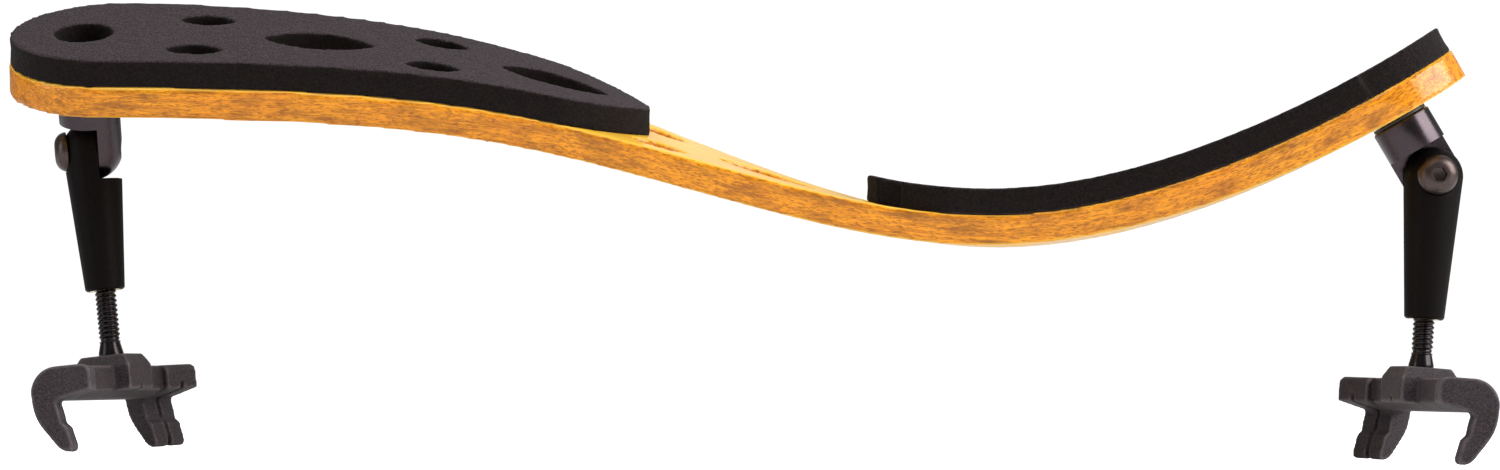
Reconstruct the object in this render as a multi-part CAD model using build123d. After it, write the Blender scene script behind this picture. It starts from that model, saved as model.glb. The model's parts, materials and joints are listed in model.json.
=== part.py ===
from build123d import *
import os
from math import cos, radians, sin, tan, tanh

# Violin shoulder rest: a twisted S-shaped maple bridge with two foam pads, carried on two
# swivelling, hinged, screw-adjusted feet that end in rubber forks.
# Millimetres. X runs along the bridge (wide end at -X), Y across it (player's side at -Y),
# Z up. The rest stands on its fork tips at Z = 0, under the middle of its box.

# ---- Bridge ----
bridge_thickness = 5.0
wide_half = 15.0                  # half width over the wide end
waist_half = 12.8                 # half width at the waist
narrow_half = 14.0                # half width over the narrow end
wide_end = -121.8                 # outermost points of the two ends
narrow_end = 115.1
wide_end_round = 18.0             # how long each rounded end is
narrow_end_round = 14.0
waist_station = 22.0
bridge_roll = 12.5                # the whole bridge leans towards the player
twist_wide = 11.8                 # and each end is twisted further from that
twist_narrow = -13.9
twist_middle = -14.0
twist_run = 50.0
bridge_height = 52.0
# Top of the bridge along its middle, from the wide end to the narrow end
centre_points = [(-128, 11.9), (-80, 11.8), (-40, 6.9), (0, -5.15), (40, -12.85), (80, -3.55), (124, 22.6)]
rail_reach = 20.0                 # the rails that the twisted faces are drawn between
beyond = 60.0                     # further than the bridge reaches across or in height

# ---- Holes through the bridge and the pads ----
hole_pitch = 19.1
large_lens = (18.0, 8.4)
small_lens = (9.0, 4.6)
small_lens_offset = 8.0
access_hole = 9.2
cut_reach = 15.0                  # how far a hole's cutter reaches each way

# ---- Pads ----
pad_thickness = 4.4
pad_inset = 0.1
wide_pad_tip = -16.6
narrow_pad_tip = 19.2
pad_ogive = 19.5                  # length of each pad's pointed end
pad_tip_half = 1.1

# ---- Post, hinge and leg ----
wide_station = -109.5             # where each foot's axis meets the top of the bridge
narrow_station = 103.95
post_radius = 5.0
post_drop = 11.2                  # underside of the bridge to the hinge axis
shoulder_drop = 5.15              # shoulder of the post above the hinge axis
lap_face = -0.7                   # where the two half-laps meet, along the hinge axis
lap_gap = 0.1
joint_clearance = 0.25            # shoulder clearance of each half-lap
running_clearance = 0.05          # radial clearance of each turning shaft
face_clearance = 0.03             # between faces that turn on each other
leg_top_radius = 4.85
leg_foot_radius = 3.25
leg_length = 23.5                 # hinge axis to the leg's lower end
leg_bore_top = 6.5                # solid metal left under the hinge axis
thread_relief = 0.2               # radial room round the rod in the leg's bore
half_space = 20.0                 # cutter larger than the post and leg are wide
edge_break = 0.3

# ---- Fasteners ----
hinge_thread = 3.5
hinge_head = (6.6, 2.0)           # button head: diameter, height
hinge_seat = 4.0                  # head seat, out from the hinge centre
head_recess = 6.9
hex_socket = (2.2, 1.5)           # across flats, depth
post_thread = 4.0
post_head = (7.2, 1.5)
post_screw_grip = 5.0
counterbore_depth = 2.6
head_flat = 0.42                  # share of a head's radius that is flat on top
head_rim = 0.25
screw_end = 1.0                   # how far a hinge screw stops short of the tongue's outer face
blind_gap = 0.5                   # room below the post screw in its hole
screw_washer = (8.6, 0.5)         # outer diameter, thickness
swivel_washer = (9.4, 0.5)
hinge_washer = (7.4, 0.5)

# ---- Threaded rod ----
rod_thread = 3.5
rod_root = 3.0
thread_pitch = 25.4 / 32
thread_length = 16.5
thread_flat = 0.16                # share of a pitch that is flat on the crest
thread_runout = 1.0               # plain rod between the collar and the first thread
collar_height = 2.1
collar_flare = 0.3                # how far its foot stands out from the thread
collar_foot_height = 0.4
collar_waist = 0.1                # how far its neck stands in from the thread
collar_bead = 0.3
spigot_length = 4.4
insert_radius = 2.5
insert_length = 8.0

# ---- Fork ----
fork_spread = 21.0                # rod axis to the middle of each hook
fork_convergence = 16.0           # each hook is turned in by this much
hook_width = 8.0
hook_wall = 3.9                   # thickness of the hook behind its jaw
arm_height = 5.2
front_height = 4.1                # the arms get thinner towards their front
arm_reach = 5.6                   # arm's length in front of the jaw wall
arm_nose = 1.3                    # rounding of its front top corner
hook_setback = 0.9                # jaw wall behind the rod axis
bar_front = 2.0                   # front and back of the crossbar from the rod axis
bar_back = 4.4
jaw_height = 4.5
tip_overhang = 1.2
fork_height = 13.7                # top of the arms to the tip of the hooks
boss_foot_half = 4.9
boss_top_half = 3.9
boss_rise = 1.8
core_thickness = 1.6
core_cover = 1.4                  # rubber left over the core
core_leg = (1.2, 6.8)             # thickness and drop of its leg inside each hook
core_rim = 1.7                    # rubber left beside it
hub_cover = 0.7                   # rubber over the hub, under the rod's collar
groove_width = 1.0
groove_depth = 0.8
hub_radius = 3.0

# ---- How the feet stand ----
# station, leg's lean along X, leg's lean to the player, thread in sight, direction of the jaws,
# and the side that the hinge screw's head faces
feet = {
    "wide": (wide_station, 6.5, 1.2, 8.75, -12.4, (-1, 0)),
    "narrow": (narrow_station, -3.7, 0.8, 5.85, 190.5, (0, -1)),
}
bridge_length = narrow_end - wide_end

bridge_plane = Plane(
    origin=(0, -1, bridge_height),
    x_dir=(1, 0, 0),
    z_dir=(0, -sin(radians(bridge_roll)), cos(radians(bridge_roll))),
)
centreline = Spline(*[(x, 0, z) for x, z in centre_points])


def along_centreline(x):
    """Point and unit tangent of the bridge's centreline above x."""
    low, high = 0.0, 1.0
    for _ in range(40):
        middle = (low + high) / 2
        if centreline.position_at(middle).X < x:
            low = middle
        else:
            high = middle
    return centreline.position_at(low), centreline.tangent_at(low)


def twist(x):
    """Angle of the bridge about its length at x, on top of its roll."""
    share = (1 - tanh((x - twist_middle) / twist_run)) / 2
    return twist_narrow + (twist_wide - twist_narrow) * share


def surface_plane(x):
    """Plane on the top of the bridge at its middle: X along the bridge, Z out of it."""
    point, tangent = along_centreline(x)
    across = Vector(0, 1, tan(radians(twist(x))))
    return Plane(origin=point, x_dir=tangent, z_dir=tangent.cross(across).normalized())


def side_profile(y, low, high):
    """Side face of the bridge between two heights above its top, at y."""

    def rail(lift):
        points = []
        for x, z in centre_points:
            point, tangent = along_centreline(min(max(x, centre_points[0][0]), centre_points[-1][0]))
            rise = y * tan(radians(twist(x)))
            points.append(Vector(x - lift * tangent.Z, y, z + rise + lift * tangent.X))
        return Spline(*points)

    bottom, top = rail(low), rail(high)
    return Face(Wire([bottom, Line(bottom @ 1, top @ 1), top, Line(top @ 0, bottom @ 0)]))


def twisted_slab(low, high):
    """Everything between two heights above the bridge's top, wider than the bridge."""
    return loft([side_profile(-rail_reach, low, high), side_profile(rail_reach, low, high)], ruled=True)


def plan_prism(inset):
    """Outline of the bridge seen from above, less an inset; the narrow end is left long."""
    half, waist, far = wide_half - inset, waist_half - inset, narrow_half - inset
    start = wide_end + wide_end_round
    straight = narrow_end - 2 * narrow_end_round
    past = narrow_end + beyond
    side = Spline((start, half), (waist_station, waist), (straight, far), tangents=[(1, 0), (1, 0)])
    lines = Curve() + [
        EllipticalCenterArc((start, 0), wide_end_round - inset, half, start_angle=90, arc_size=180),
        side,
        mirror(side, Plane.XZ),
        Polyline((straight, far), (past, far), (past, -far), (straight, -far)),
    ]
    return extrude(make_face(lines), beyond, both=True)


def end_prism(inset):
    """Rounded narrow end, square to the bridge's top there."""
    centre = narrow_end - narrow_end_round
    plane = surface_plane(centre)
    arc = EllipticalCenterArc((0, 0), narrow_end_round / plane.x_dir.X - inset, narrow_half - inset,
                              start_angle=-90, arc_size=180)
    back = Polyline(arc @ 1, (0, beyond), (-beyond, beyond), (-beyond, -beyond), (0, -beyond), arc @ 0)
    near = extrude(plane * make_face(Curve() + [arc, back]), beyond, both=True)
    rest = Box(2 * bridge_length, 2 * beyond, 3 * beyond)
    return near + Pos(centre - beyond / 2 - bridge_length, 0, 0) * rest


def ogive_prism(tip, towards):
    """Pointed end of a pad: two arcs from the bridge's sides to a blunt tip."""
    start = tip - towards * pad_ogive
    half = waist_half + 1.2
    far = start - towards * bridge_length
    side = beyond / 2
    upper = TangentArc((start, half), (tip, pad_tip_half), tangent=(towards, 0))
    lower = mirror(upper, Plane.XZ)
    rest = Polyline((start, half), (start, side), (far, side), (far, -side), (start, -side), (start, -half))
    nose = Line((tip, pad_tip_half), (tip, -pad_tip_half))
    return extrude(make_face(Curve() + [upper, lower, rest, nose]), beyond, both=True)


def lens(size):
    """Pointed oval, as long and as wide as size says."""
    length, width = size
    upper = ThreePointArc((-length / 2, 0), (0, width / 2), (length / 2, 0))
    return make_face(Curve() + [upper, mirror(upper, Plane.XZ)])


def station_after(x, distance):
    """Station that lies a distance further along the bridge's surface."""
    _, tangent = along_centreline(x)
    return x + distance * tangent.X


def lens_holes():
    """Cutters for the pattern of pointed oval holes between the two feet."""
    cutters = []
    station = station_after(wide_station, hole_pitch)
    large = False
    while station < narrow_station - 0.7 * hole_pitch:
        plane = surface_plane(station)
        if large:
            cutters.append(extrude(plane * lens(large_lens), cut_reach, both=True))
        else:
            for side in (-1, 1):
                place = plane * Pos(0, side * small_lens_offset * wide_share(station), 0)
                cutters.append(extrude(place * lens(small_lens), cut_reach, both=True))
        station = station_after(station, hole_pitch)
        large = not large
    return cutters


def wide_share(x):
    """How wide the bridge is at x, as a share of its widest part."""
    reach = (x - waist_station) / (wide_end - waist_station)
    return (waist_half + (wide_half - waist_half) * min(1, abs(reach))) / wide_half


def make_bridge(holes):
    """Maple bridge with its lens holes, counterbores and screw holes."""
    body = twisted_slab(-bridge_thickness, 0) & plan_prism(0) & end_prism(0)
    for cutter in holes:
        body -= cutter
    for station, *_ in feet.values():
        plane = surface_plane(station)
        body -= plane * Pos(0, 0, cut_reach / 2 - counterbore_depth) * Cylinder(access_hole / 2, cut_reach)
        body -= plane * Cylinder(post_thread / 2 + running_clearance, 2 * cut_reach)
    return body


def make_pad(tip, towards, station, holes):
    """Foam pad that follows the bridge's top from one end to its own pointed tip."""
    body = twisted_slab(0, pad_thickness) & plan_prism(pad_inset) & end_prism(pad_inset)
    body &= ogive_prism(tip, towards)
    for cutter in holes:
        body -= cutter
    return body - surface_plane(station) * Cylinder(access_hole / 2, 2 * cut_reach)


def ring(outer, inner, height):
    """Flat washer that stands on its own origin."""
    return Pos(0, 0, height / 2) * (Cylinder(outer, height) - Cylinder(inner, height))


def button_screw(thread, head, grip):
    """Button-head screw along Z: its head starts at Z = 0 and its thread runs down."""
    diameter, height = head
    radius = diameter / 2
    flat = radius * head_flat
    dome_middle = (flat + 0.68 * (radius - flat), 0.72 * height)
    dome = ThreePointArc((radius, head_rim), dome_middle, (flat, height))
    tip = thread / 2 - edge_break
    outline = Polyline((flat, height), (0, height), (0, -grip), (tip, -grip), (thread / 2, -grip + edge_break),
                       (thread / 2, 0), (radius, 0), (radius, head_rim))
    body = revolve(Plane.XZ * make_face(Curve() + [outline, dome]), Axis.Z)
    across, depth = hex_socket
    socket = extrude(RegularPolygon(across / 2, 6, major_radius=False), depth)
    return body - Pos(0, 0, height - depth) * socket


def make_post():
    """Post along Z from the hinge centre up, with its half-lap tongue on the -X side."""
    top = post_drop - swivel_washer[1] - face_clearance
    length = top - shoulder_drop
    shaft = Pos(0, 0, shoulder_drop + length / 2) * Cylinder(post_radius, length)
    shaft = chamfer(shaft.edges().sort_by(Axis.Z)[-1], edge_break)
    tongue = Pos(0, 0, shoulder_drop / 2) * Cylinder(post_radius, shoulder_drop) + Sphere(post_radius)
    face = lap_face - lap_gap / 2
    tongue &= Pos(face - half_space / 2, 0, 0) * Box(half_space, half_space, 2 * shoulder_drop)
    body = shaft + tongue
    body -= Pos(0, 0, top - post_screw_grip / 2) * Cylinder(post_thread / 2, post_screw_grip)
    return body - Rot(0, 90, 0) * Cylinder(hinge_thread / 2, half_space)


def make_leg():
    """Leg along Z from the hinge centre down, with its half-lap on the +X side."""
    flank = Polyline((leg_top_radius, 0), (leg_foot_radius, -leg_length + edge_break),
                     (leg_foot_radius - edge_break, -leg_length), (0, -leg_length), (0, leg_top_radius))
    dome = CenterArc((0, 0), leg_top_radius, 0, 90)
    body = revolve(Plane.XZ * make_face(Curve() + [flank, dome]), Axis.Z)
    face = lap_face + lap_gap / 2
    step = post_radius + joint_clearance
    body -= Pos(face - half_space / 2, 0, half_space / 2 - step) * Box(half_space, half_space, half_space)
    body -= Pos(hinge_seat + post_radius, 0, 0) * Rot(0, 90, 0) * Cylinder(head_recess / 2, 2 * post_radius)
    body -= Rot(0, 90, 0) * Cylinder(hinge_thread / 2 + running_clearance, half_space)
    recess = hinge_washer[1] - lap_gap + running_clearance
    body -= Pos(face + recess / 2, 0, 0) * Rot(0, 90, 0) * Cylinder(
        hinge_washer[0] / 2 + running_clearance, recess)
    body -= Pos(0, 0, -leg_length + insert_length / 2) * Cylinder(insert_radius, insert_length)
    depth = leg_length - leg_bore_top
    return body - Pos(0, 0, -leg_length + depth / 2) * Cylinder(rod_thread / 2 + thread_relief, depth)


def make_insert():
    """Brass thread insert pressed into the leg's lower end."""
    bore = rod_thread / 2 + running_clearance
    return Pos(0, 0, -leg_length) * ring(insert_radius, bore, insert_length)


def make_rod():
    """Threaded rod with its collar, along Z: the collar's foot is at Z = 0."""
    crest, root = rod_thread / 2, rod_root / 2
    foot_radius, neck_radius = crest + collar_flare, crest - collar_waist
    neck = collar_height + collar_bead
    points = [(0, -spigot_length), (crest - edge_break, -spigot_length), (crest, -spigot_length + edge_break),
              (crest, 0), (foot_radius, 0), (foot_radius, collar_foot_height),
              (neck_radius, collar_height - collar_bead),
              (crest, collar_height), (crest, neck), (root, neck + collar_bead)]
    turns = int((thread_length - 1.5 * thread_runout) / thread_pitch)
    start = collar_height + thread_runout
    flank = (1 - thread_flat) / 2 * thread_pitch
    for turn in range(turns):
        z = start + turn * thread_pitch
        points += [(root, z), (crest, z + flank), (crest, z + thread_pitch - flank)]
    top = collar_height + thread_length
    points += [(root, start + turns * thread_pitch), (root, top), (0, top)]
    return revolve(Plane.XZ * make_face(Polyline(*points, close=True)), Axis.Z)


def hook_place(side):
    """Place of a hook in the fork: X runs out of its jaw, and X = 0 is the jaw's wall."""
    return Pos(-hook_setback, side * fork_spread, -boss_rise) * Rot(0, 0, -side * fork_convergence)


def hook_outline():
    """Side view of a hook and its arm, with the arm's top at height 0."""
    jaw_top = -arm_height
    jaw_foot = -arm_height - jaw_height
    tip = (tip_overhang - 0.2, -fork_height)
    back = (-hook_wall, 0.6 - arm_height)
    outer = Spline(back, (0.7 - hook_wall, jaw_foot + 1.2), (-1.0, 1.7 - fork_height), tip,
                   tangents=[(0, -1), (1, -0.25)])
    corner = (tip_overhang - 0.8, jaw_foot + 0.75)
    nose = Polyline(tip, (tip_overhang + 0.5, 0.2 - fork_height), (tip_overhang + 0.7, 1.0 - fork_height),
                    (tip_overhang, jaw_foot), corner)
    jaw = ThreePointArc(corner, (0.1, jaw_top - 1.7), (-0.15, jaw_top - 0.7))
    root = ThreePointArc(jaw @ 1, (0.05, jaw_top - 0.2), (0.6, jaw_top))
    front = Polyline(root @ 1, (arm_reach, -front_height), (arm_reach, -arm_nose))
    nose_arc = RadiusArc((arm_reach, -arm_nose), (arm_reach - arm_nose, 0), -arm_nose)
    top = Line((arm_reach - arm_nose, 0), (0, 0))
    shoulder = ThreePointArc((0, 0), (-hook_wall * 0.7, -arm_height * 0.24), back)
    return make_face(Curve() + [outer, nose, jaw, root, front, nose_arc, top, shoulder])


def bar_outline():
    """Cross-section of the crossbar, with its front at +X and its top at height 0."""
    return make_face(Polyline((0.6 - bar_back, 0), (bar_front, 0), (bar_front, -front_height),
                              (-0.5, -arm_height), (-bar_back, -arm_height), (-bar_back, -0.6), close=True))


def make_fork():
    """Rubber fork: two hooks on a crossbar, with a raised boss for the rod; boss top at Z = 0."""
    bar_half = fork_spread - hook_width / 2 + 1.0
    body = Pos(0, 0, -boss_rise) * extrude(Plane.XZ * bar_outline(), bar_half, both=True)
    block = Box(2 * boss_foot_half, 2 * boss_foot_half, front_height)
    block = Pos(0, 0, -boss_rise - front_height / 2) * block
    body += block
    foot = Pos(0, 0, -boss_rise) * Rectangle(2 * boss_foot_half, 2 * boss_foot_half)
    cap = Rectangle(2 * boss_top_half, 2 * boss_top_half)
    body += loft([foot.face(), cap.face()], ruled=True)
    for side in (-1, 1):
        body += hook_place(side) * extrude(Plane.XZ * hook_outline(), hook_width / 2, both=True)
    for side in (-1, 1):
        body -= hook_place(side) * groove_cutter()
    notch = Pos(boss_foot_half, 0, -boss_rise - front_height) * Box(
        2 * groove_depth, groove_width, 2 * groove_depth)
    body -= notch
    body -= core_blank()
    return body - Cylinder(rod_thread / 2 + running_clearance, 2 * spigot_length)


def groove_cutter():
    """Slot down the middle of a hook's gripping face and along the underside of its arm."""
    deeper = Pos(-groove_depth, groove_depth, 0) * hook_outline()
    reach = Pos(arm_reach / 2 + 1, -arm_height - jaw_height / 2 - 1.0, 0) * Rectangle(
        arm_reach + 6, jaw_height + 2 * groove_depth + 5)
    return extrude(Plane.XZ * (reach - deeper), groove_width / 2, both=True)


def core_blank():
    """Steel stiffener inside the rubber: a bar, a hub and a leg down into each hook."""
    middle = -boss_rise - core_cover - core_thickness / 2
    wide = bar_front + bar_back - 2 * core_rim
    body = Pos((bar_front - bar_back) / 2, 0, middle) * Box(wide, 2 * fork_spread - hook_wall, core_thickness)
    thick, drop = core_leg
    across = hook_width - 2 * core_rim
    arm_length = arm_reach - core_rim + hook_wall / 2 + thick / 2
    arm_middle = arm_reach - core_rim - arm_length / 2
    for side in (-1, 1):
        leg = Pos(-hook_wall / 2, 0, -core_cover - drop / 2) * Box(thick, across, drop)
        arm = Pos(arm_middle, 0, -core_cover - core_thickness / 2) * Box(arm_length, across, core_thickness)
        body += hook_place(side) * (leg + arm)
    hub = spigot_length - hub_cover + core_rim / 4
    return body + Pos(0, 0, -hub_cover - hub / 2) * Cylinder(hub_radius, hub)


def make_core():
    """The stiffener with its bore for the rod's spigot."""
    return core_blank() - Cylinder(rod_thread / 2 + running_clearance, 4 * spigot_length)


def foot_frames(name):
    """Planes of one foot: its seat on the bridge, its post, its leg and its fork."""
    station, lean_along, lean_front, thread_out, jaw_direction, head_side = feet[name]
    top = bridge_plane.location * surface_plane(station).location
    up = Plane(top).z_dir
    down = Vector(tan(radians(lean_along)), -tan(radians(lean_front)), -1).normalized()
    hinge = Plane(top).origin - up * (bridge_thickness + post_drop)
    axis = up.cross(down).normalized()
    if axis.dot(Vector(*head_side, 0)) < 0:
        axis = -axis
    fork_origin = hinge + down * (leg_length + thread_out + collar_height)
    jaws = Vector(cos(radians(jaw_direction)), sin(radians(jaw_direction)), 0)
    jaws = (jaws - down * jaws.dot(down)).normalized()
    return {
        "seat": Plane(top),
        "post": Plane(origin=hinge, x_dir=axis, z_dir=up),
        "leg": Plane(origin=hinge, x_dir=axis, z_dir=-down),
        "fork": Plane(origin=fork_origin, x_dir=jaws, z_dir=-down),
    }


def make_foot(name):
    """All the pieces of one foot, each where it stands at rest."""
    frames = foot_frames(name)
    seat, post, leg, fork = (frames[key].location for key in ("seat", "post", "leg", "fork"))
    bore = post_thread / 2 + running_clearance
    seat_top = screw_washer[1] - counterbore_depth
    washer = ring(screw_washer[0] / 2, bore, screw_washer[1])
    friction = ring(swivel_washer[0] / 2, bore, swivel_washer[1])
    top_screw = button_screw(post_thread, post_head, bridge_thickness - counterbore_depth
                             - screw_washer[1] + swivel_washer[1] + post_screw_grip - blind_gap)
    side_screw = button_screw(hinge_thread, hinge_head, hinge_seat + post_radius - screw_end)
    spacer = ring(hinge_washer[0] / 2, hinge_thread / 2, hinge_washer[1])
    collar_gap = Pos(0, 0, face_clearance)
    return {
        "post": post * make_post(),
        "post_screw": seat * Pos(0, 0, seat_top + face_clearance) * top_screw,
        "screw_washer": seat * Pos(0, 0, -counterbore_depth) * washer,
        "swivel_washer": seat * Pos(0, 0, -bridge_thickness - swivel_washer[1]) * friction,
        "hinge_screw": post * Pos(hinge_seat + running_clearance, 0, 0) * Rot(0, 90, 0) * side_screw,
        "hinge_washer": post * Pos(lap_face - lap_gap / 2, 0, 0) * Rot(0, 90, 0) * spacer,
        "leg": leg * make_leg(),
        "thread_insert": leg * make_insert(),
        "rod": fork * collar_gap * make_rod(),
        "fork_core": fork * make_core(),
        "fork": fork * make_fork(),
    }


holes = lens_holes()
nodes = {
    "bridge": bridge_plane.location * make_bridge(holes),
    "wide_pad": bridge_plane.location * make_pad(wide_pad_tip, 1, wide_station, holes),
    "narrow_pad": bridge_plane.location * make_pad(narrow_pad_tip, -1, narrow_station, holes),
}
for foot in feet:
    for piece, solid in make_foot(foot).items():
        nodes[f"{foot}_{piece}"] = solid

box = Compound(children=[Compound(solid.solids()) for solid in nodes.values()]).bounding_box()
shift = Vector(-(box.min.X + box.max.X) / 2, -(box.min.Y + box.max.Y) / 2, -box.min.Z)

os.makedirs("parts", exist_ok=True)
for name, solid in nodes.items():
    pieces = solid.solids()
    placed = Pos(*shift) * (pieces[0] if len(pieces) == 1 else Compound(pieces))
    export_step(placed, f"parts/{name}.step")
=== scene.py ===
import json
from math import cos, pi, radians, sin

import bmesh
import bpy
import numpy as np
from mathutils import Matrix, Vector, noise
from mathutils.bvhtree import BVHTree


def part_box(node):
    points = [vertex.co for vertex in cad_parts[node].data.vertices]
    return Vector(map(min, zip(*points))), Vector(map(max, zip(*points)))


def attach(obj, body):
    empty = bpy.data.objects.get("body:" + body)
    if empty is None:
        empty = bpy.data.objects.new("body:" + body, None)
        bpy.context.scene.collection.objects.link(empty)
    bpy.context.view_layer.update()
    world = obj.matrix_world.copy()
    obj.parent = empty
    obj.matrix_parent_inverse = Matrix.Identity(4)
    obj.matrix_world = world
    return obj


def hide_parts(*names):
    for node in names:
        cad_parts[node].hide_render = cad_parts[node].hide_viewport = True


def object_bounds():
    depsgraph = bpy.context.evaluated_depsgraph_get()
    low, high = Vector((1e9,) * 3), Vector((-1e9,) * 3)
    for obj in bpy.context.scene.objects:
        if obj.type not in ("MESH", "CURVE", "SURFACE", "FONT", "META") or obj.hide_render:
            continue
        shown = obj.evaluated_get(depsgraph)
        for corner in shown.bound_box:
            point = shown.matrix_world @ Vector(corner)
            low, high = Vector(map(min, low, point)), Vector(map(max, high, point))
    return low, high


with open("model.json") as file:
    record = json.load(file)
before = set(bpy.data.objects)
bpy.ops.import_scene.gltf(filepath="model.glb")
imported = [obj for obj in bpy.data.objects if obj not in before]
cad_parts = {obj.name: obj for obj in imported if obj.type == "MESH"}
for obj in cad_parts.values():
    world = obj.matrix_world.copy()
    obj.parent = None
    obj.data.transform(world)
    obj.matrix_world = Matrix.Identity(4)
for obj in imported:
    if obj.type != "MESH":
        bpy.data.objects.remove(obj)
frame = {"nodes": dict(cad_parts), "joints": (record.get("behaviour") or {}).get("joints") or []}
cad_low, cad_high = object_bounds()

# Violin shoulder rest: lacquered maple bridge, two die-cut foam pads and two black feet with
# rubber forks. Lengths are in metres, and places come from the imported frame.

MM = 0.001
FEET = ("wide", "narrow")

# ---- Sizes of the finish ----
BRIDGE_VOXEL = 0.5 * MM           # how finely the softened pieces are drawn
PAD_VOXEL = 0.45 * MM
FORK_VOXEL = 0.25 * MM
CUT_HOLLOW = 0.22 * MM            # die-cut foam is drawn in between its two faces
FOAM_UNEVENNESS = 0.05 * MM
FOAM_LUMP = 1.1 * MM              # size of the skin's unevenness
METAL_EDGE = 0.2 * MM             # broken edges of the turned pieces
SEAM = 0.001 * MM                 # points nearer than this are one
FLAT_ANGLE = radians(0.5)         # faces flatter than this to each other become one
EDGE_ANGLE = radians(32)          # edges sharper than this are broken
SHARP_ANGLE = radians(34)         # and edges sharper than this stay crisp

# ---- Threaded rod ----
THREAD_COLUMNS = 36
THREAD_ROWS_PER_TURN = 12
THREAD_VALLEY = 0.06              # share of half a pitch that is flat at the root
THREAD_FLANK = 0.72               # and share that the flank takes
THREAD_CREST = 1.75 * MM
THREAD_ROOT = 1.5 * MM
THREAD_PITCH = 25.4 / 32 * MM
SPIGOT_STEP = 0.5 * MM            # spacing of the rod's rows below the collar
SPIGOT_GAP = 0.001 * MM           # from the last of those rows to the collar's foot
COLLAR_FOOT = 2.05 * MM
COLLAR_FOOT_HEIGHT = 0.4 * MM
COLLAR_STEP = 0.01 * MM           # rows just below and above the foot's top
COLLAR_NECK = 1.65 * MM
COLLAR_HEIGHT = 2.1 * MM
COLLAR_BEAD = 0.3 * MM
CREST_ANGLE = radians(50)         # the thread stays smooth below this angle

# ---- How the bridge's lie is felt out ----
LIE_MARGIN = 2 * MM               # left out at each end
LIE_STEP = 1.5 * MM               # along the bridge
LIE_HALF = 13 * MM                # half the width that is felt
LIE_ACROSS = 2 * MM               # between two rays across it
LIE_RAYS = 5                      # a slice counts if more rays than this hit it
HOLE_DEPTH = 0.4 * MM             # a ray this far below the rest fell into a hole

# ---- Camera ----
CAMERA_DISTANCE = 600 * MM
CAMERA_LENS = 87.27               # on a 36 mm sensor
CAMERA_PITCH = -2.2               # degrees; it looks slightly up
CAMERA_ROLL = 0.53
AIM_HEIGHT = 36.45 * MM           # aim point above the floor
AIM_ALONG = 1.53 * MM             # and along the bridge from its middle

# ---- Soft boxes: name, place from the middle of the object, size and watts ----
SOFT_BOXES = (
    ("key_box", (-0.2, -0.2, 0.55), (0.7, 0.4), 3.0),
    ("left_box", (-0.75, -0.35, 0.1), (0.3, 0.7), 1.6),
    ("right_box", (0.75, -0.45, 0.2), (0.3, 0.7), 0.5),
    ("side_box", (0.74, -0.24, 0.42), (0.75, 0.6), 11.0),
    ("back_box", (0.0, 0.7, 0.35), (0.9, 0.4), 0.6),
)

# ---- Floor ----
FLOOR_RADIUS = 12.0
FLOOR_GAP = 0.02 * MM             # below the fork tips


# ---------------------------------------------------------------- meshes
def vertex_array(mesh):
    """Places of a mesh's vertices as an array."""
    places = np.empty(len(mesh.vertices) * 3)
    mesh.vertices.foreach_get("co", places)
    return places.reshape(-1, 3)


def normal_array(mesh):
    """Vertex normals of a mesh as an array."""
    normals = np.empty(len(mesh.vertices) * 3)
    mesh.vertex_normals.foreach_get("vector", normals)
    return normals.reshape(-1, 3)


def edge_array(mesh):
    """Vertex pairs of a mesh's edges."""
    pairs = np.empty(len(mesh.edges) * 2, int)
    mesh.edges.foreach_get("vertices", pairs)
    return pairs.reshape(-1, 2)


def move_vertices(mesh, places):
    """Puts the vertices of a mesh at new places."""
    mesh.vertices.foreach_set("co", places.ravel())
    mesh.update()


def ranged_array(values, low, high):
    """Values taken from low..high to 0..1 and kept in it."""
    return np.clip((values - low) / (high - low), 0, 1)


def new_piece(name, mesh):
    """Object for a finished mesh."""
    piece = bpy.data.objects.new(name, mesh)
    bpy.context.scene.collection.objects.link(piece)
    return piece


def sewn_copy(name, node):
    """Copy of a CAD node's surface as one closed mesh of flat faces."""
    mesh = bpy.data.meshes.new(name)
    form = bmesh.new()
    form.from_mesh(frame["nodes"][node].data)
    bmesh.ops.remove_doubles(form, verts=form.verts, dist=SEAM)
    bmesh.ops.dissolve_limit(form, angle_limit=FLAT_ANGLE, verts=form.verts, edges=form.edges)
    places = [tuple(v.co) for v in form.verts]
    form.verts.index_update()
    faces = [[v.index for v in f.verts] for f in form.faces]
    form.free()
    mesh.from_pydata(places, [], faces)
    mesh.update()
    return new_piece(name, mesh)


def apply_modifiers(piece):
    """Makes what the modifiers show into the piece's own mesh."""
    graph = bpy.context.evaluated_depsgraph_get()
    graph.update()
    finished = bpy.data.meshes.new_from_object(piece.evaluated_get(graph))
    piece.modifiers.clear()
    piece.data = finished
    return piece


def softened(name, node, voxel, rounds):
    """Copy of a CAD node with even small faces and softly rounded edges."""
    piece = sewn_copy(name, node)
    fine = piece.modifiers.new("even_faces", "REMESH")
    fine.mode = "VOXEL"
    fine.voxel_size = voxel
    soft = piece.modifiers.new("soft_edges", "SMOOTH")
    soft.factor = 0.5
    soft.iterations = rounds
    apply_modifiers(piece)
    piece.data.shade_smooth()
    return piece


def turned(name, node, width):
    """Copy of a CAD node with small broken edges that catch the light."""
    piece = sewn_copy(name, node)
    edges = piece.modifiers.new("broken_edges", "BEVEL")
    edges.width = width
    edges.segments = 3
    edges.limit_method = "ANGLE"
    edges.angle_limit = EDGE_ANGLE
    edges.use_clamp_overlap = True
    apply_modifiers(piece)
    piece.data.shade_smooth()
    piece.data.set_sharp_from_angle(angle=SHARP_ANGLE)
    return piece


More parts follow.
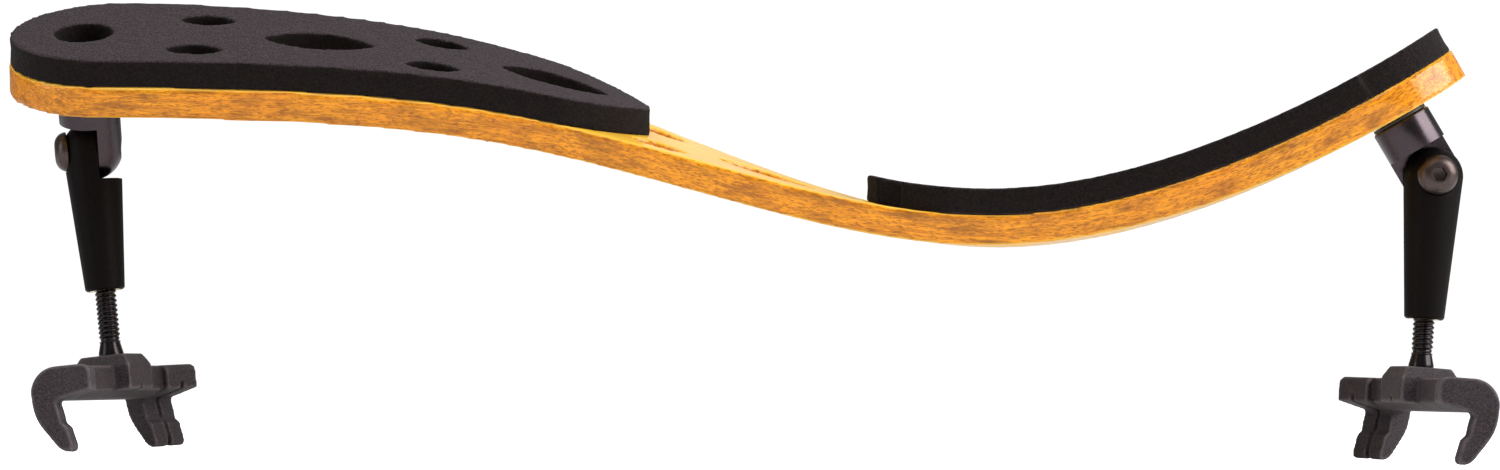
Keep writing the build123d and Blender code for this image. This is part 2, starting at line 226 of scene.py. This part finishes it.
def mark_ridges(piece, rounds):
    """Stores how convex the surface is at each point: 0 on flats and hollows, more on ridges."""
    mesh = piece.data
    places, normals, pairs = vertex_array(mesh), normal_array(mesh), edge_array(mesh)
    first, second = pairs[:, 0], pairs[:, 1]
    gap = places[second] - places[first]
    gap /= np.linalg.norm(gap, axis=1)[:, None]
    count = len(places)
    tally = np.bincount(first, minlength=count) + np.bincount(second, minlength=count)
    convex = np.bincount(first, -(gap * normals[first]).sum(1), count)
    convex += np.bincount(second, (gap * normals[second]).sum(1), count)
    convex /= tally
    for _ in range(rounds):
        spread = np.bincount(first, convex[second], count) + np.bincount(second, convex[first], count)
        convex = (convex + spread / tally) / 2
    layer = mesh.attributes.new("ridge", "FLOAT", "POINT")
    layer.data.foreach_set("value", convex.astype(np.float32))


def finish_piece(piece, node, body, material):
    """Puts a piece on its body in place of its CAD node, with its material."""
    piece.data.materials.clear()
    piece.data.materials.append(material)
    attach(piece, body)
    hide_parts(node)
    return piece


# ---------------------------------------------------------------- the bridge's own directions
class Lie:
    """How the bridge lies: the height and sideways slope of its top at each place along it."""

    def __init__(self, node):
        low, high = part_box(node)
        form = BVHTree.FromObject(frame["nodes"][node], bpy.context.evaluated_depsgraph_get())
        self.along, self.height, self.slope = [], [], []
        for x in np.arange(low.x + LIE_MARGIN, high.x - LIE_MARGIN, LIE_STEP):
            across, tops = [], []
            for y in np.arange(-LIE_HALF, LIE_HALF, LIE_ACROSS):
                hit = form.ray_cast(Vector((x, y, high.z + 0.1)), Vector((0, 0, -1)))[0]
                if hit is not None:
                    across.append(y)
                    tops.append(hit.z)
            if len(across) > LIE_RAYS:
                slope, middle = self.line_above(np.array(across), np.array(tops))
                self.along.append(x)
                self.height.append(middle)
                self.slope.append(slope)
        reach = np.hypot(np.diff(self.along), np.diff(self.height))
        self.run = np.concatenate([[0], np.cumsum(reach)])

    @staticmethod
    def line_above(across, tops):
        """Straight line through the upper points: rays that fell into a hole are left out."""
        for _ in range(3):
            slope, middle = np.polyfit(across, tops, 1)
            keep = tops - (slope * across + middle) > -HOLE_DEPTH
            across, tops = across[keep], tops[keep]
        return slope, middle

    def place(self, points):
        """(distance along the bridge, across it, above its top) of each point."""
        x, y, z = points.T
        top = np.interp(x, self.along, self.height) + y * np.interp(x, self.along, self.slope)
        rise = np.gradient(self.height, self.along)
        tilt = np.interp(x, self.along, 1 / np.hypot(1, rise))
        return np.column_stack([np.interp(x, self.along, self.run), y, (z - top) * tilt])

    def upright(self, points):
        """Unit direction out of the bridge's top at each point."""
        rise = np.interp(points[:, 0], self.along, np.gradient(self.height, self.along))
        slope = np.interp(points[:, 0], self.along, self.slope)
        up = np.column_stack([-rise, -slope, np.ones(len(points))])
        return up / np.linalg.norm(up, axis=1)[:, None]


def store_place(piece, lie):
    """Stores where each point lies along, across and above the bridge, and how flat it faces up; the
    materials use this to paint light on faces and shade on sides.
    """
    mesh = piece.data
    places = vertex_array(mesh)
    layer = mesh.attributes.new("place", "FLOAT_VECTOR", "POINT")
    layer.data.foreach_set("vector", lie.place(places).astype(np.float32).ravel())
    facing = np.abs((normal_array(mesh) * lie.upright(places)).sum(1))
    layer = mesh.attributes.new("face", "FLOAT", "POINT")
    layer.data.foreach_set("value", facing.astype(np.float32))


# ---------------------------------------------------------------- node tools
def add(tree, kind, inputs=None, **settings):
    """New node with its settings; an input is a value or another node's output."""
    made = tree.nodes.new(kind)
    for key, value in settings.items():
        setattr(made, key, value)
    for key, value in (inputs or {}).items():
        if isinstance(value, bpy.types.NodeSocket):
            tree.links.new(value, made.inputs[key])
        else:
            made.inputs[key].default_value = value
    return made


def math(tree, operation, first, second=0.0, clamp=False):
    """Output of a Math node."""
    made = add(tree, "ShaderNodeMath", {0: first, 1: second}, operation=operation, use_clamp=clamp)
    return made.outputs[0]


def ranged(tree, value, low, high, to_low=0.0, to_high=1.0):
    """A value taken from one range to another, and kept in it."""
    made = add(tree, "ShaderNodeMapRange", {"Value": value, "From Min": low, "From Max": high,
                                            "To Min": to_low, "To Max": to_high})
    return made.outputs["Result"]


def mixed(tree, share, first, second, blend="MIX"):
    """Mix of two colours."""
    made = tree.nodes.new("ShaderNodeMix")
    made.data_type = "RGBA"
    made.blend_type = blend
    made.clamp_factor = True
    for socket, value in ((made.inputs[0], share), (made.inputs[6], first), (made.inputs[7], second)):
        if isinstance(value, bpy.types.NodeSocket):
            tree.links.new(value, socket)
        else:
            socket.default_value = value
    return made.outputs[2]


def new_group(name, inputs, outputs):
    """Empty shader node group with named inputs, each with its usual value, and named outputs."""
    tree = bpy.data.node_groups.new(name, "ShaderNodeTree")
    for label, value in inputs.items():
        socket = tree.interface.new_socket(label, in_out="INPUT", socket_type="NodeSocketFloat")
        socket.default_value = value
    for label in outputs:
        tree.interface.new_socket(label, in_out="OUTPUT", socket_type="NodeSocketFloat")
    return tree, tree.nodes.new("NodeGroupInput").outputs, tree.nodes.new("NodeGroupOutput").inputs


def use_group(tree, group, **inputs):
    """Places a node group in a material, with its own values."""
    made = tree.nodes.new("ShaderNodeGroup")
    made.node_tree = group
    for label, value in inputs.items():
        made.inputs[label.replace("_", " ")].default_value = value
    return made.outputs


# ---------------------------------------------------------------- shared effects
def fine_grain_group():
    """Fine speckle of foam, moulded rubber and blasted metal: its shade and its height."""
    tree, given, out = new_group("fine_grain", {"Size": 0.4 * MM, "Contrast": 0.5}, ["Shade", "Height"])
    place = add(tree, "ShaderNodeTexCoord").outputs["Object"]
    scale = math(tree, "DIVIDE", 1.0, given["Size"])
    speckle = add(tree, "ShaderNodeTexNoise", {"Vector": place, "Scale": scale, "Detail": 2.0,
                                               "Roughness": 0.65}).outputs["Fac"]
    cells = add(tree, "ShaderNodeTexVoronoi", {"Vector": place, "Scale": scale}).outputs["Distance"]
    mixture = math(tree, "MULTIPLY_ADD", cells, 0.45)
    tree.links.new(speckle, mixture.node.inputs[2])
    centred = math(tree, "SUBTRACT", mixture, 0.72)
    shade = math(tree, "MULTIPLY_ADD", centred, given["Contrast"])
    shade.node.inputs[2].default_value = 0.5
    tree.links.new(shade, out["Shade"])
    tree.links.new(mixture, out["Height"])
    return tree


def mottle_group():
    """Slow, cloudy change of tone, such as handling leaves."""
    tree, given, out = new_group("mottle", {"Size": 9 * MM, "Low": 0.0, "High": 1.0}, ["Value"])
    place = add(tree, "ShaderNodeTexCoord").outputs["Object"]
    scale = math(tree, "DIVIDE", 1.0, given["Size"])
    cloud = add(tree, "ShaderNodeTexNoise", {"Vector": place, "Scale": scale, "Detail": 4.0,
                                             "Roughness": 0.55}).outputs["Fac"]
    value = add(tree, "ShaderNodeMapRange", {"Value": cloud, "From Min": 0.3, "From Max": 0.7,
                                             "To Min": given["Low"], "To Max": given["High"]})
    tree.links.new(value.outputs["Result"], out["Value"])
    return tree


def scuffed_highlit_ridges_group():
    """Paler ridges of a piece whose mesh stores how convex it is: partly scuffing and partly a painted
    highlight along the rounded edges.
    """
    tree, given, out = new_group("scuffed_highlit_ridges", {"Start": 0.1, "Full": 0.4, "Amount": 0.6}, ["Mask"])
    ridge = add(tree, "ShaderNodeAttribute", attribute_name="ridge").outputs["Fac"]
    edge = add(tree, "ShaderNodeMapRange", {"Value": ridge, "From Min": given["Start"],
                                            "From Max": given["Full"]}).outputs["Result"]
    place = add(tree, "ShaderNodeTexCoord").outputs["Object"]
    patches = add(tree, "ShaderNodeTexNoise", {"Vector": place, "Scale": 1 / (1.8 * MM), "Detail": 5.0,
                                               "Roughness": 0.7}).outputs["Fac"]
    ridge_scuff_and_highlight = math(tree, "MULTIPLY", edge, ranged(tree, patches, 0.3, 0.6, 0.35, 1.0))
    tree.links.new(math(tree, "MULTIPLY", ridge_scuff_and_highlight, given["Amount"], clamp=True), out["Mask"])
    return tree


def streaks_group():
    """Streaks along the bridge, from the place stored in its mesh: long grain and short flecks."""
    tree, given, out = new_group("streaks", {"Length": 20 * MM, "Width": 0.8 * MM, "Low": 0.35,
                                             "High": 0.7, "Detail": 3.0}, ["Mask"])
    place = add(tree, "ShaderNodeAttribute", attribute_name="place").outputs["Vector"]
    long = math(tree, "DIVIDE", 1.0, given["Length"])
    fine = math(tree, "DIVIDE", 1.0, given["Width"])
    scale = add(tree, "ShaderNodeCombineXYZ", {0: long, 1: fine, 2: fine}).outputs[0]
    spread = add(tree, "ShaderNodeVectorMath", {0: place, 1: scale}, operation="MULTIPLY").outputs[0]
    lines = add(tree, "ShaderNodeTexNoise", {"Vector": spread, "Scale": 1.0, "Detail": given["Detail"],
                                             "Roughness": 0.6, "Distortion": 0.3}).outputs["Fac"]
    mask = add(tree, "ShaderNodeMapRange", {"Value": lines, "From Min": given["Low"],
                                            "From Max": given["High"]})
    tree.links.new(mask.outputs["Result"], out["Mask"])
    return tree


fine_grain, mottle = fine_grain_group(), mottle_group()
scuffed_highlit_ridges, streaks = scuffed_highlit_ridges_group(), streaks_group()


# ---------------------------------------------------------------- materials
def new_material(name, **constants):
    """Material with a Principled shader; constants go on the shader's own sockets."""
    material = bpy.data.materials.new(name)
    material.use_nodes = True
    tree = material.node_tree
    shader = tree.nodes["Principled BSDF"]
    for label, value in constants.items():
        shader.inputs[label.replace("_", " ")].default_value = value
    return material, tree, shader


def set_bump(tree, shader, height, distance, strength=1.0):
    """Feeds the shader's normal from a height."""
    bump = add(tree, "ShaderNodeBump", {"Height": height, "Distance": distance, "Strength": strength})
    tree.links.new(bump.outputs["Normal"], shader.inputs["Normal"])


def lacquered_maple():
    """Maple under clear lacquer: amber, streaked edges, and faces painted a paler gold as painted light
    on the top.
    """
    material, tree, shader = new_material("lacquered_maple", Coat_Weight=0.55, Coat_Roughness=0.2,
                                          Coat_IOR=1.5, Specular_IOR_Level=0.1)
    face = add(tree, "ShaderNodeAttribute", attribute_name="face").outputs["Fac"]
    grain = use_group(tree, streaks, Length=9 * MM, Width=0.4 * MM, Low=0.4, High=0.62)["Mask"]
    flecks = use_group(tree, streaks, Length=1.0 * MM, Width=0.24 * MM, Low=0.48, High=0.64,
                       Detail=2.0)["Mask"]
    smoke = use_group(tree, streaks, Length=7 * MM, Width=1.6 * MM, Low=0.46, High=0.7,
                      Detail=5.0)["Mask"]
    cloud = use_group(tree, mottle, Size=9 * MM, Low=0.0, High=0.9)["Value"]
    face_gold_painted_light = mixed(tree, cloud, (0.86, 0.52, 0.055, 1), (0.80, 0.43, 0.035, 1))
    face_gold_painted_light = mixed(tree, math(tree, "MULTIPLY", grain, 0.35), face_gold_painted_light, (0.66, 0.30, 0.022, 1))
    amber = mixed(tree, cloud, (0.90, 0.355, 0.008, 1), (0.80, 0.275, 0.005, 1))
    amber = mixed(tree, math(tree, "MULTIPLY", grain, 0.6), amber, (0.46, 0.135, 0.005, 1))
    amber = mixed(tree, math(tree, "MULTIPLY", flecks, 0.7), amber, (0.27, 0.07, 0.004, 1))
    amber = mixed(tree, math(tree, "MULTIPLY", smoke, 0.75), amber, (0.19, 0.055, 0.004, 1))
    # Surfaces that face up or down take the paler gold: painted light on the faces, over the maple's
    # amber.
    share = ranged(tree, face, 0.45, 0.9)
    tree.links.new(mixed(tree, share, amber, face_gold_painted_light), shader.inputs["Base Color"])
    rough = math(tree, "MULTIPLY_ADD", grain, 0.12)
    rough.node.inputs[2].default_value = 0.36
    tree.links.new(rough, shader.inputs["Roughness"])
    set_bump(tree, shader, math(tree, "ADD", grain, flecks), 0.015 * MM, 0.35)
    return material


def die_cut_foam():
    """Closed-cell charcoal foam with a fine speckled skin; faces that face up are painted paler as
    painted light and the cut sides far darker as painted shade.
    """
    material, tree, shader = new_material("die_cut_foam", Specular_IOR_Level=0.12, Sheen_Weight=0.03,
                                          Sheen_Roughness=0.6)
    face = add(tree, "ShaderNodeAttribute", attribute_name="face").outputs["Fac"]
    grain = use_group(tree, fine_grain, Size=0.3 * MM, Contrast=2.6)
    coarse = use_group(tree, fine_grain, Size=0.75 * MM, Contrast=1.2)
    cloud = use_group(tree, mottle, Size=16 * MM, Low=0.0, High=1.0)["Value"]
    # The skin's colour is paler than the sides': painted light on the faces that face up.
    skin_painted_light = mixed(tree, grain["Shade"], (0.003, 0.0018, 0.0022, 1), (0.053, 0.037, 0.042, 1))
    skin_painted_light = mixed(tree, math(tree, "MULTIPLY", cloud, 0.35), skin_painted_light, (0.024, 0.017, 0.0195, 1))
    # The cut sides get a far darker colour: painted shade on the sides, not a different foam.
    side = mixed(tree, grain["Shade"], (0.0012, 0.0007, 0.0005, 1), (0.0105, 0.0066, 0.0054, 1))
    share = ranged(tree, face, 0.45, 0.85)
    tree.links.new(mixed(tree, share, side, skin_painted_light), shader.inputs["Base Color"])
    tree.links.new(ranged(tree, coarse["Shade"], 0.0, 1.0, 0.82, 1.0), shader.inputs["Roughness"])
    height = math(tree, "ADD", grain["Height"], coarse["Height"])
    set_bump(tree, shader, height, 0.09 * MM, 0.8)
    return material


def anodised():
    """Satin black anodised aluminium with a fine, even grain."""
    material, tree, shader = new_material("black_anodised", Metallic=1.0)
    grain = use_group(tree, fine_grain, Size=0.12 * MM, Contrast=1.0)
    cloud = use_group(tree, mottle, Size=5 * MM, Low=0.22, High=0.3)["Value"]
    shade = mixed(tree, grain["Shade"], (0.042, 0.033, 0.037, 1), (0.074, 0.059, 0.065, 1))
    tree.links.new(shade, shader.inputs["Base Color"])
    tree.links.new(cloud, shader.inputs["Roughness"])
    set_bump(tree, shader, grain["Height"], 0.008 * MM, 0.4)
    return material


def leg_black():
    """Near-black matt finish of the legs."""
    material, tree, shader = new_material("matt_black_leg", Specular_IOR_Level=0.06)
    grain = use_group(tree, fine_grain, Size=0.16 * MM, Contrast=1.2)
    cloud = use_group(tree, mottle, Size=6 * MM, Low=0.4, High=0.52)["Value"]
    shade = mixed(tree, grain["Shade"], (0.002, 0.0013, 0.0011, 1), (0.006, 0.0042, 0.0037, 1))
    tree.links.new(shade, shader.inputs["Base Color"])
    tree.links.new(cloud, shader.inputs["Roughness"])
    set_bump(tree, shader, grain["Height"], 0.01 * MM, 0.5)
    return material


def blackened_steel(name, light, dark, low, high):
    """Blackened steel of the screws and rods, from its two tones and its range of roughness."""
    material, tree, shader = new_material(name, Metallic=0.9, Specular_IOR_Level=0.5)
    grain = use_group(tree, fine_grain, Size=0.2 * MM, Contrast=1.3)
    cloud = use_group(tree, mottle, Size=2.5 * MM, Low=low, High=high)["Value"]
    tree.links.new(mixed(tree, grain["Shade"], dark, light), shader.inputs["Base Color"])
    tree.links.new(cloud, shader.inputs["Roughness"])
    set_bump(tree, shader, grain["Height"], 0.006 * MM, 0.4)
    return material


def moulded_rubber():
    """Dark, slightly purple rubber with a fine moulded grain and paler ridges, partly scuffing and
    partly a painted highlight on the rounded edges.
    """
    material, tree, shader = new_material("moulded_rubber", Specular_IOR_Level=0.2, Sheen_Weight=0.03,
                                          Sheen_Roughness=0.5)
    grain = use_group(tree, fine_grain, Size=0.28 * MM, Contrast=2.2)
    cloud = use_group(tree, mottle, Size=3.5 * MM, Low=0.0, High=1.0)["Value"]
    ridge_scuff_and_highlight = use_group(tree, scuffed_highlit_ridges, Start=0.03, Full=0.13, Amount=0.75)["Mask"]
    base = mixed(tree, grain["Shade"], (0.005, 0.0035, 0.0042, 1), (0.046, 0.035, 0.0395, 1))
    base = mixed(tree, math(tree, "MULTIPLY", cloud, 0.4), base, (0.042, 0.033, 0.0365, 1))
    # Paler ridges: scuffs together with a painted highlight on the rounded edges.
    base = mixed(tree, ridge_scuff_and_highlight, base, (0.12, 0.10, 0.107, 1))
    tree.links.new(base, shader.inputs["Base Color"])
    tree.links.new(ranged(tree, cloud, 0.0, 1.0, 0.58, 0.72), shader.inputs["Roughness"])
    set_bump(tree, shader, grain["Height"], 0.03 * MM, 0.6)
    return material


def plain_metal(name, light, dark, rough):
    """Bare metal of the inner pieces."""
    material, tree, shader = new_material(name, Metallic=1.0)
    grain = use_group(tree, fine_grain, Size=0.25 * MM, Contrast=1.0)
    tree.links.new(mixed(tree, grain["Shade"], dark, light), shader.inputs["Base Color"])
    cloud = use_group(tree, mottle, Size=3 * MM, Low=rough, High=rough + 0.12)["Value"]
    tree.links.new(cloud, shader.inputs["Roughness"])
    set_bump(tree, shader, grain["Height"], 0.008 * MM, 0.4)
    return material


def nylon():
    """Black nylon of the friction washers."""
    material, tree, shader = new_material("black_nylon", Specular_IOR_Level=0.4)
    grain = use_group(tree, fine_grain, Size=0.2 * MM, Contrast=1.0)
    tree.links.new(mixed(tree, grain["Shade"], (0.010, 0.009, 0.010, 1), (0.022, 0.02, 0.021, 1)),
                   shader.inputs["Base Color"])
    cloud = use_group(tree, mottle, Size=3 * MM, Low=0.45, High=0.6)["Value"]
    tree.links.new(cloud, shader.inputs["Roughness"])
    set_bump(tree, shader, grain["Height"], 0.01 * MM, 0.4)
    return material


MATERIALS = {
    "maple": lacquered_maple(),
    "foam": die_cut_foam(),
    "black_metal": anodised(),
    "black_leg": leg_black(),
    "dark_screw": blackened_steel("blackened_screw", (0.10, 0.075, 0.07, 1), (0.05, 0.036, 0.033, 1),
                                  0.3, 0.42),
    "black_rod": blackened_steel("black_oxide_rod", (0.035, 0.03, 0.031, 1), (0.015, 0.012, 0.013, 1),
                                 0.15, 0.26),
    "rubber": moulded_rubber(),
    "nylon": nylon(),
    "brass": plain_metal("turned_brass", (0.80, 0.58, 0.24, 1), (0.62, 0.42, 0.15, 1), 0.22),
    "steel": plain_metal("plain_steel", (0.52, 0.51, 0.50, 1), (0.38, 0.37, 0.37, 1), 0.3),
}


# ---------------------------------------------------------------- pieces
# Turned parts of a foot: part, the body it rides on, its finish and how wide its edges are broken
TURNED_PARTS = (
    ("post", "post", "black_metal", METAL_EDGE),
    ("leg", "leg", "black_leg", 2 * METAL_EDGE),
    ("hinge_screw", "post", "dark_screw", METAL_EDGE / 2),
    ("post_screw", "post", "dark_screw", METAL_EDGE / 2),
    ("screw_washer", "bridge", "dark_screw", METAL_EDGE / 2),
    ("swivel_washer", "bridge", "nylon", METAL_EDGE / 2),
)
# Small inner parts that stay as designed, and their finish
KEPT_PARTS = (("hinge_washer", "nylon"), ("thread_insert", "brass"), ("fork_core", "steel"))


def make_bridge(lie):
    """The maple bridge with its lens holes, its long edges softened and lacquered."""
    piece = softened("maple_bridge", "bridge", BRIDGE_VOXEL, 3)
    store_place(piece, lie)
    return finish_piece(piece, "bridge", "bridge", MATERIALS["maple"])


def make_pad(node, lie):
    """A die-cut foam pad: its sides are drawn in between its faces, and its skin is uneven."""
    piece = softened(node.replace("_pad", "_foam_pad"), node, PAD_VOXEL, 2)
    mesh = piece.data
    places, normals = vertex_array(mesh), normal_array(mesh)
    lain = lie.place(places)
    upright = lie.upright(places)
    thick = lain[:, 2].max()
    share = np.clip(lain[:, 2] / thick, 0, 1)
    sideways = 1 - np.abs((normals * upright).sum(1))
    inward = -CUT_HOLLOW * sideways * 4 * share * (1 - share)
    uneven = np.array([noise.noise(Vector(p) / FOAM_LUMP) for p in places])
    free = ranged_array(share, 0.08, 0.3)
    places += normals * (inward + FOAM_UNEVENNESS * uneven * free)[:, None]
    move_vertices(mesh, places)
    store_place(piece, lie)
    finish_piece(piece, node, "bridge", MATERIALS["foam"])
    return piece


def joint(name):
    """A joint of the frame by its name."""
    return next(j for j in frame["joints"] if j["name"] == name)


def thread_profile(phase):
    """Height of the thread at a share of its turn: a flat crest between two flanks."""
    ramp = 1 - abs(2 * (phase % 1.0) - 1)
    return min(1.0, max(0.0, (ramp - THREAD_VALLEY) / THREAD_FLANK))


def rod_radius(height, turn, top):
    """Radius of the rod at a height above its collar's foot and a share of a turn round it."""
    bead_top = COLLAR_HEIGHT + COLLAR_BEAD
    if height < 0:
        return THREAD_CREST
    if height < COLLAR_FOOT_HEIGHT:
        return COLLAR_FOOT
    if height < COLLAR_HEIGHT:
        share = (height - COLLAR_FOOT_HEIGHT) / (COLLAR_HEIGHT - COLLAR_FOOT_HEIGHT)
        return COLLAR_FOOT + (COLLAR_NECK - COLLAR_FOOT) * share
    if height < bead_top:
        share = (height - COLLAR_HEIGHT) / COLLAR_BEAD
        return COLLAR_NECK + (THREAD_CREST - COLLAR_NECK) * sin(pi * share) ** 0.5
    fade = min(1.0, (height - bead_top) / THREAD_PITCH, (top - height) / THREAD_PITCH)
    rise = thread_profile(height / THREAD_PITCH - turn)
    return THREAD_ROOT + (THREAD_CREST - THREAD_ROOT) * rise * max(0.0, fade)


def make_rod(foot):
    """Threaded rod with a true helical thread above its tapered collar."""
    turning = joint(f"{foot}_fork_turn")
    origin, up = Vector(turning["pos_m"]), -Vector(turning["axis"])
    node = f"{foot}_rod"
    ends = [(v.co - origin).dot(up) for v in frame["nodes"][node].data.vertices]
    low, high = min(ends), max(ends)
    step = THREAD_PITCH / THREAD_ROWS_PER_TURN
    heights = list(np.arange(low, 0, SPIGOT_STEP)) + [-SPIGOT_GAP, 0.0]
    heights += [COLLAR_FOOT_HEIGHT - COLLAR_STEP, COLLAR_FOOT_HEIGHT + COLLAR_STEP, COLLAR_HEIGHT / 2]
    heights += list(np.linspace(COLLAR_HEIGHT, COLLAR_HEIGHT + COLLAR_BEAD, 9))
    heights += list(np.arange(heights[-1] + step, high, step)) + [high]
    side = up.orthogonal().normalized()
    front = up.cross(side)
    form = bmesh.new()
    rows = []
    for height in heights:
        row = []
        for column in range(THREAD_COLUMNS):
            turn = column / THREAD_COLUMNS
            radius = rod_radius(height, turn, high)
            out = side * cos(2 * pi * turn) + front * sin(2 * pi * turn)
            row.append(form.verts.new(origin + up * height + out * radius))
        rows.append(row)
    for lower, upper in zip(rows, rows[1:]):
        for column in range(THREAD_COLUMNS):
            after = (column + 1) % THREAD_COLUMNS
            form.faces.new((lower[column], lower[after], upper[after], upper[column]))
    form.faces.new(list(reversed(rows[0])))
    form.faces.new(rows[-1])
    mesh = bpy.data.meshes.new(f"{foot}_threaded_rod")
    form.to_mesh(mesh)
    form.free()
    mesh.shade_smooth()
    mesh.set_sharp_from_angle(angle=CREST_ANGLE)
    piece = new_piece(f"{foot}_threaded_rod", mesh)
    return finish_piece(piece, node, f"{foot}_rod", MATERIALS["black_rod"])


def make_fork(foot):
    """Rubber fork with softly moulded edges."""
    piece = softened(f"{foot}_rubber_fork", f"{foot}_fork", FORK_VOXEL, 3)
    mark_ridges(piece, 4)
    return finish_piece(piece, f"{foot}_fork", f"{foot}_fork", MATERIALS["rubber"])


def make_foot(foot):
    """The shown pieces of one foot, and finishes for the CAD nodes that stay."""
    for part, body, slot, edge in TURNED_PARTS:
        node = f"{foot}_{part}"
        on = body if body == "bridge" else f"{foot}_{body}"
        finish_piece(turned(f"{node}_turned", node, edge), node, on, MATERIALS[slot])
    make_rod(foot)
    make_fork(foot)
    for part, slot in KEPT_PARTS:
        node = frame["nodes"][f"{foot}_{part}"]
        node.data.materials.clear()
        node.data.materials.append(MATERIALS[slot])


# ---------------------------------------------------------------- stage
def make_floor():
    """Wide, plain white floor."""
    form = bmesh.new()
    bmesh.ops.create_circle(form, cap_ends=True, segments=96, radius=FLOOR_RADIUS)
    mesh = bpy.data.meshes.new("floor")
    form.to_mesh(mesh)
    form.free()
    floor = new_piece("floor", mesh)
    floor.location.z = cad_low.z - FLOOR_GAP
    material, tree, shader = new_material("white_floor", Roughness=0.9, Specular_IOR_Level=0.0)
    shader.inputs["Base Color"].default_value = (0.86, 0.86, 0.87, 1)
    glow = add(tree, "ShaderNodeEmission", {"Color": (1, 1, 1, 1), "Strength": 0.9})
    both = add(tree, "ShaderNodeAddShader", {0: shader.outputs[0], 1: glow.outputs[0]})
    seen = add(tree, "ShaderNodeLightPath").outputs["Is Camera Ray"]
    choice = add(tree, "ShaderNodeMixShader", {0: seen, 1: shader.outputs[0], 2: both.outputs[0]})
    tree.links.new(choice.outputs[0], tree.nodes["Material Output"].inputs["Surface"])
    mesh.materials.append(material)


def make_world():
    """White surround, dimmer as a light than it looks."""
    world = bpy.data.worlds.new("white_surround")
    bpy.context.scene.world = world
    world.use_nodes = True
    tree = world.node_tree
    light = tree.nodes["Background"]
    light.inputs["Color"].default_value = (1.0, 0.985, 0.99, 1)
    light.inputs["Strength"].default_value = 0.22
    shown = add(tree, "ShaderNodeBackground", {"Color": (1, 1, 1, 1), "Strength": 1.05})
    seen = add(tree, "ShaderNodeLightPath").outputs["Is Camera Ray"]
    choice = add(tree, "ShaderNodeMixShader", {0: seen, 1: light.outputs[0], 2: shown.outputs[0]})
    tree.links.new(choice.outputs[0], tree.nodes["World Output"].inputs["Surface"])


def make_light(name, place, size, watts):
    """Soft box that faces the middle of the object."""
    lamp = bpy.data.lights.new(name, "AREA")
    lamp.shape = "RECTANGLE"
    lamp.size, lamp.size_y = size
    lamp.energy = watts
    box = bpy.data.objects.new(name, lamp)
    bpy.context.scene.collection.objects.link(box)
    middle = (cad_low + cad_high) / 2
    box.location = middle + Vector(place)
    box.rotation_euler = (-Vector(place)).to_track_quat("-Z", "Y").to_euler()


def make_camera():
    """Camera at the player's side, low and looking slightly up at the bridge's long side."""
    middle = (cad_low + cad_high) / 2
    aim = Vector((middle.x + AIM_ALONG, middle.y, cad_low.z + AIM_HEIGHT))
    pitch, roll = radians(CAMERA_PITCH), radians(CAMERA_ROLL)
    forward = Vector((0, cos(pitch), -sin(pitch)))
    level = Vector((1, 0, 0))
    upright = level.cross(forward)
    right = level * cos(roll) + upright * sin(roll)
    up = upright * cos(roll) - level * sin(roll)
    data = bpy.data.cameras.new("camera")
    data.lens = CAMERA_LENS
    data.sensor_width = 36.0
    data.clip_start, data.clip_end = 0.01, 50.0
    camera = bpy.data.objects.new("camera", data)
    bpy.context.scene.collection.objects.link(camera)
    turn = Matrix((right, up, -forward)).transposed().to_4x4()
    camera.matrix_world = Matrix.Translation(aim - forward * CAMERA_DISTANCE) @ turn
    bpy.context.scene.camera = camera


lie = Lie("bridge")
make_bridge(lie)
for pad in ("wide_pad", "narrow_pad"):
    make_pad(pad, lie)
for foot in FEET:
    make_foot(foot)

make_floor()
make_world()
for box in SOFT_BOXES:
    make_light(*box)
make_camera()
bpy.context.scene.view_settings.view_transform = "Standard"
